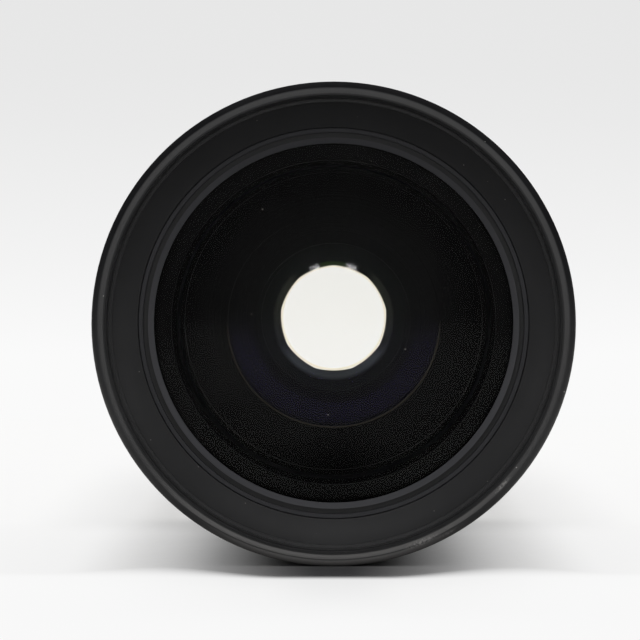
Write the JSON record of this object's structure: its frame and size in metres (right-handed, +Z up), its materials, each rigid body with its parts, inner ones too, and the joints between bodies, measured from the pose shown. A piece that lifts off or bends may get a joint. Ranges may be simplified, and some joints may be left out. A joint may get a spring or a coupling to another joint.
{
  "type": "camera lens",
  "caption": "Standard zoom lens for an interchangeable-lens camera: turning zoom and focus rings, telescoping front tube, bladed iris and bayonet mount",
  "frame": {"origin": "Centre of the bayonet mount's seating plane, on the optical axis", "axes": "+Y is the optical axis towards the camera, so the front of the lens faces -Y. +Z is up as the lens lies in the picture, and the contacts are at the bottom. +X is to the right as seen from the front."},
  "size_m": [0.088, 0.1256, 0.088],
  "materials": {
    "shell_paint": "fine satin black paint",
    "rim_moulding": "satin black, lightly scuffed",
    "bezel_black": "smooth matt black",
    "lip_black": "satin black anodised",
    "tube_black": "satin black anodised",
    "grip_rubber": "matt ribbed rubber",
    "seal_rubber": "soft matt rubber",
    "mount_plate": "satin plated brass",
    "screw_steel": "bright steel",
    "contact_gold": "gold plated",
    "black_moulding": "fine matt black",
    "front_glass": "polished, coated",
    "inner_glass": "polished, coated",
    "black_anodised": "matt black anodised",
    "inner_moulding": "glass-filled black moulding",
    "blade_steel": "blackened spring steel",
    "roller_brass": "turned brass",
    "bright_steel": "ground steel",
    "yoke_iron": "plated soft iron",
    "magnet_nickel": "nickel plated magnet",
    "coil_copper": "enamelled copper winding",
    "board_green": "solder-masked board"
  },
  "bodies": {
    "barrel": {"bayonet_mount": "mount_plate", "mount_screws": "screw_steel", "mount_seal": "seal_rubber", "contact_block": "black_moulding", "contact_pins": "contact_gold", "rear_baffle": "black_moulding", "rear_cell": "black_anodised", "rear_element": "inner_glass", "rear_inner_element": "inner_glass", "rear_barrel": "shell_paint", "switch_panel": "black_moulding", "guide_barrel": "black_anodised", "guide_screws": "screw_steel", "main_board": "board_green"},
    "zoom_ring": {"zoom_sleeve": "tube_black", "zoom_grip": "grip_rubber", "zoom_key": "roller_brass", "cam_barrel": "black_anodised"},
    "focus_ring": {"focus_sleeve": "tube_black", "focus_grip": "grip_rubber"},
    "front_barrel": {"front_tube": "tube_black", "front_followers": "roller_brass", "filter_ring": "rim_moulding", "front_bezel": "bezel_black", "front_cell": "black_anodised", "front_retainer": "lip_black", "front_element": "front_glass", "second_element": "inner_glass", "third_element": "inner_glass"},
    "variator": {"variator_cell": "black_anodised", "variator_followers": "roller_brass", "variator_element": "inner_glass", "variator_rear_element": "inner_glass"},
    "carrier": {"carrier_frame": "black_anodised", "carrier_followers": "roller_brass", "carrier_plate": "black_anodised", "guide_rods": "bright_steel", "motor_yokes": "yoke_iron", "motor_magnets": "magnet_nickel", "iris_base": "inner_moulding", "iris_cover": "black_anodised", "iris_motor": "bright_steel", "relay_element": "inner_glass", "relay_rear_element": "inner_glass"},
    "iris_ring": {"iris_ring": "blade_steel"},
    "iris_blade_1": {"iris_blade_1": "blade_steel"},
    "iris_blade_2": {"iris_blade_2": "blade_steel"},
    "iris_blade_3": {"iris_blade_3": "blade_steel"},
    "iris_blade_4": {"iris_blade_4": "blade_steel"},
    "iris_blade_5": {"iris_blade_5": "blade_steel"},
    "iris_blade_6": {"iris_blade_6": "blade_steel"},
    "iris_blade_7": {"iris_blade_7": "blade_steel"},
    "iris_blade_8": {"iris_blade_8": "blade_steel"},
    "iris_blade_9": {"iris_blade_9": "blade_steel"},
    "iris_pinion": {"iris_pinion": "roller_brass"},
    "focus_group": {"focus_cell": "inner_moulding", "focus_element": "inner_glass", "focus_coils": "coil_copper"},
    "mode_switch": {"mode_switch": "black_moulding"},
    "hold_button": {"hold_button": "black_moulding"}
  },
  "joints": [
    {"name": "zoom_turn", "type": "hinge", "parent": "barrel", "child": "zoom_ring", "pos_m": [0, -0.08, 0], "axis": [0, -1, 0], "range_deg": [0, 70]},
    {"name": "focus_turn", "type": "hinge", "parent": "barrel", "child": "focus_ring", "pos_m": [0, -0.0513, 0], "axis": [0, -1, 0], "continuous": true},
    {"name": "front_slide", "type": "slide", "parent": "barrel", "child": "front_barrel", "axis": [0, -1, 0], "range_m": [0, 0.028]},
    {"name": "variator_slide", "type": "slide", "parent": "barrel", "child": "variator", "axis": [0, -1, 0], "range_m": [0, 0.008]},
    {"name": "carrier_slide", "type": "slide", "parent": "barrel", "child": "carrier", "axis": [0, -1, 0], "range_m": [0, 0.016]},
    {"name": "iris_turn", "type": "hinge", "parent": "carrier", "child": "iris_ring", "pos_m": [0, -0.0673, 0], "axis": [0, -1, 0], "range_deg": [-4.45, 10.05]},
    {"name": "iris_blade_1_pivot", "type": "hinge", "parent": "carrier", "child": "iris_blade_1", "pos_m": [0.01898, -0.0658, 0.00489], "axis": [0, -1, 0], "range_deg": [-11.13, 25.14]},
    {"name": "iris_blade_2_pivot", "type": "hinge", "parent": "carrier", "child": "iris_blade_2", "pos_m": [0.0114, -0.0658, 0.01594], "axis": [0, -1, 0], "range_deg": [-11.13, 25.14]},
    {"name": "iris_blade_3_pivot", "type": "hinge", "parent": "carrier", "child": "iris_blade_3", "pos_m": [-0.00152, -0.0658, 0.01954], "axis": [0, -1, 0], "range_deg": [-11.13, 25.14]},
    {"name": "iris_blade_4_pivot", "type": "hinge", "parent": "carrier", "child": "iris_blade_4", "pos_m": [-0.01372, -0.0658, 0.01399], "axis": [0, -1, 0], "range_deg": [-11.13, 25.14]},
    {"name": "iris_blade_5_pivot", "type": "hinge", "parent": "carrier", "child": "iris_blade_5", "pos_m": [-0.01951, -0.0658, 0.0019], "axis": [0, -1, 0], "range_deg": [-11.13, 25.14]},
    {"name": "iris_blade_6_pivot", "type": "hinge", "parent": "carrier", "child": "iris_blade_6", "pos_m": [-0.01617, -0.0658, -0.01108], "axis": [0, -1, 0], "range_deg": [-11.13, 25.14]},
    {"name": "iris_blade_7_pivot", "type": "hinge", "parent": "carrier", "child": "iris_blade_7", "pos_m": [-0.00526, -0.0658, -0.01888], "axis": [0, -1, 0], "range_deg": [-11.13, 25.14]},
    {"name": "iris_blade_8_pivot", "type": "hinge", "parent": "carrier", "child": "iris_blade_8", "pos_m": [0.00811, -0.0658, -0.01784], "axis": [0, -1, 0], "range_deg": [-11.13, 25.14]},
    {"name": "iris_blade_9_pivot", "type": "hinge", "parent": "carrier", "child": "iris_blade_9", "pos_m": [0.01768, -0.0658, -0.00846], "axis": [0, -1, 0], "range_deg": [-11.13, 25.14]},
    {"name": "pinion_spin", "type": "hinge", "parent": "carrier", "child": "iris_pinion", "pos_m": [0.01625, -0.0673, 0.0208], "axis": [0, -1, 0], "range_deg": [-100.6, 44.6]},
    {"name": "focus_slide", "type": "slide", "parent": "carrier", "child": "focus_group", "axis": [0, -1, 0], "range_m": [-0.004, 0.004]},
    {"name": "mode_switch_slide", "type": "slide", "parent": "barrel", "child": "mode_switch", "axis": [0, -1, 0], "range_m": [0, 0.003]},
    {"name": "hold_button_press", "type": "slide", "parent": "barrel", "child": "hold_button", "axis": [0.8829, 0, -0.4695], "range_m": [0, 0.0008], "stiffness_N_per_m": 600, "springref_m": -0.0006}
  ],
  "couplings": [
    {"joint": "front_slide", "follows": "zoom_turn", "m_per_rad": 0.022918},
    {"joint": "variator_slide", "follows": "zoom_turn", "m_per_rad": 0.006548},
    {"joint": "carrier_slide", "follows": "zoom_turn", "m_per_rad": 0.013096},
    {"joint": "iris_blade_1_pivot", "follows": "iris_turn", "ratio": 2.5},
    {"joint": "iris_blade_2_pivot", "follows": "iris_turn", "ratio": 2.5},
    {"joint": "iris_blade_3_pivot", "follows": "iris_turn", "ratio": 2.5},
    {"joint": "iris_blade_4_pivot", "follows": "iris_turn", "ratio": 2.5},
    {"joint": "iris_blade_5_pivot", "follows": "iris_turn", "ratio": 2.5},
    {"joint": "iris_blade_6_pivot", "follows": "iris_turn", "ratio": 2.5},
    {"joint": "iris_blade_7_pivot", "follows": "iris_turn", "ratio": 2.5},
    {"joint": "iris_blade_8_pivot", "follows": "iris_turn", "ratio": 2.5},
    {"joint": "iris_blade_9_pivot", "follows": "iris_turn", "ratio": 2.5},
    {"joint": "pinion_spin", "follows": "iris_turn", "ratio": -10}
  ]
}
